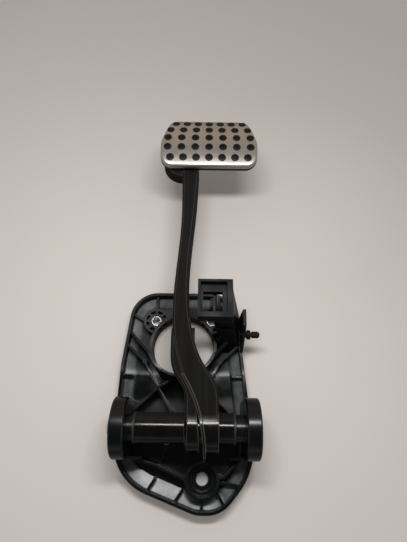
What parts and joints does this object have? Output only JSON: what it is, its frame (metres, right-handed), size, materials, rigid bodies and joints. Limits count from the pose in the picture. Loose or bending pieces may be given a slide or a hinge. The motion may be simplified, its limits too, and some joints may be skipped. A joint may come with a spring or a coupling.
{
  "type": "brake pedal",
  "caption": "Car brake pedal with a curved lever and studded pad on a ribbed bulkhead bracket; the lever swings on a cross pin between two cheeks and presses a booster's pushrod.",
  "frame": {"origin": "centre of the booster opening, on the bracket's mounting face", "axes": "+X along the pivot pin, +Y up the lever towards the pad, +Z off the mounting face"},
  "size_m": [0.1445, 0.4085, 0.0909],
  "materials": {
    "bracket_nylon": "satin black, glass-filled",
    "lever_nylon": "semi-gloss black",
    "plated_steel": "bright zinc plate",
    "clip_plastic": "dark brown, matt",
    "bush_plastic": "dark grey, smooth",
    "pad_rubber": "matt black",
    "cover_steel": "fine brushed stainless"
  },
  "bodies": {
    "bracket": {"pedal_bracket": "bracket_nylon", "stud_insert_left": "plated_steel", "stud_insert_right": "plated_steel", "lower_insert": "plated_steel", "pivot_pin": "plated_steel", "pin_clip": "plated_steel", "harness_clip": "clip_plastic"},
    "lever": {"pedal_lever": "lever_nylon", "hub_bush_left": "bush_plastic", "hub_bush_right": "bush_plastic", "pad_rubber": "pad_rubber", "pad_cover": "cover_steel"}
  },
  "joints": [
    {"name": "pedal_swing", "type": "hinge", "parent": "bracket", "child": "lever", "pos_m": [0.006, -0.082, 0.05], "axis": [1, 0, 0], "range_deg": [0, 24]}
  ]
}
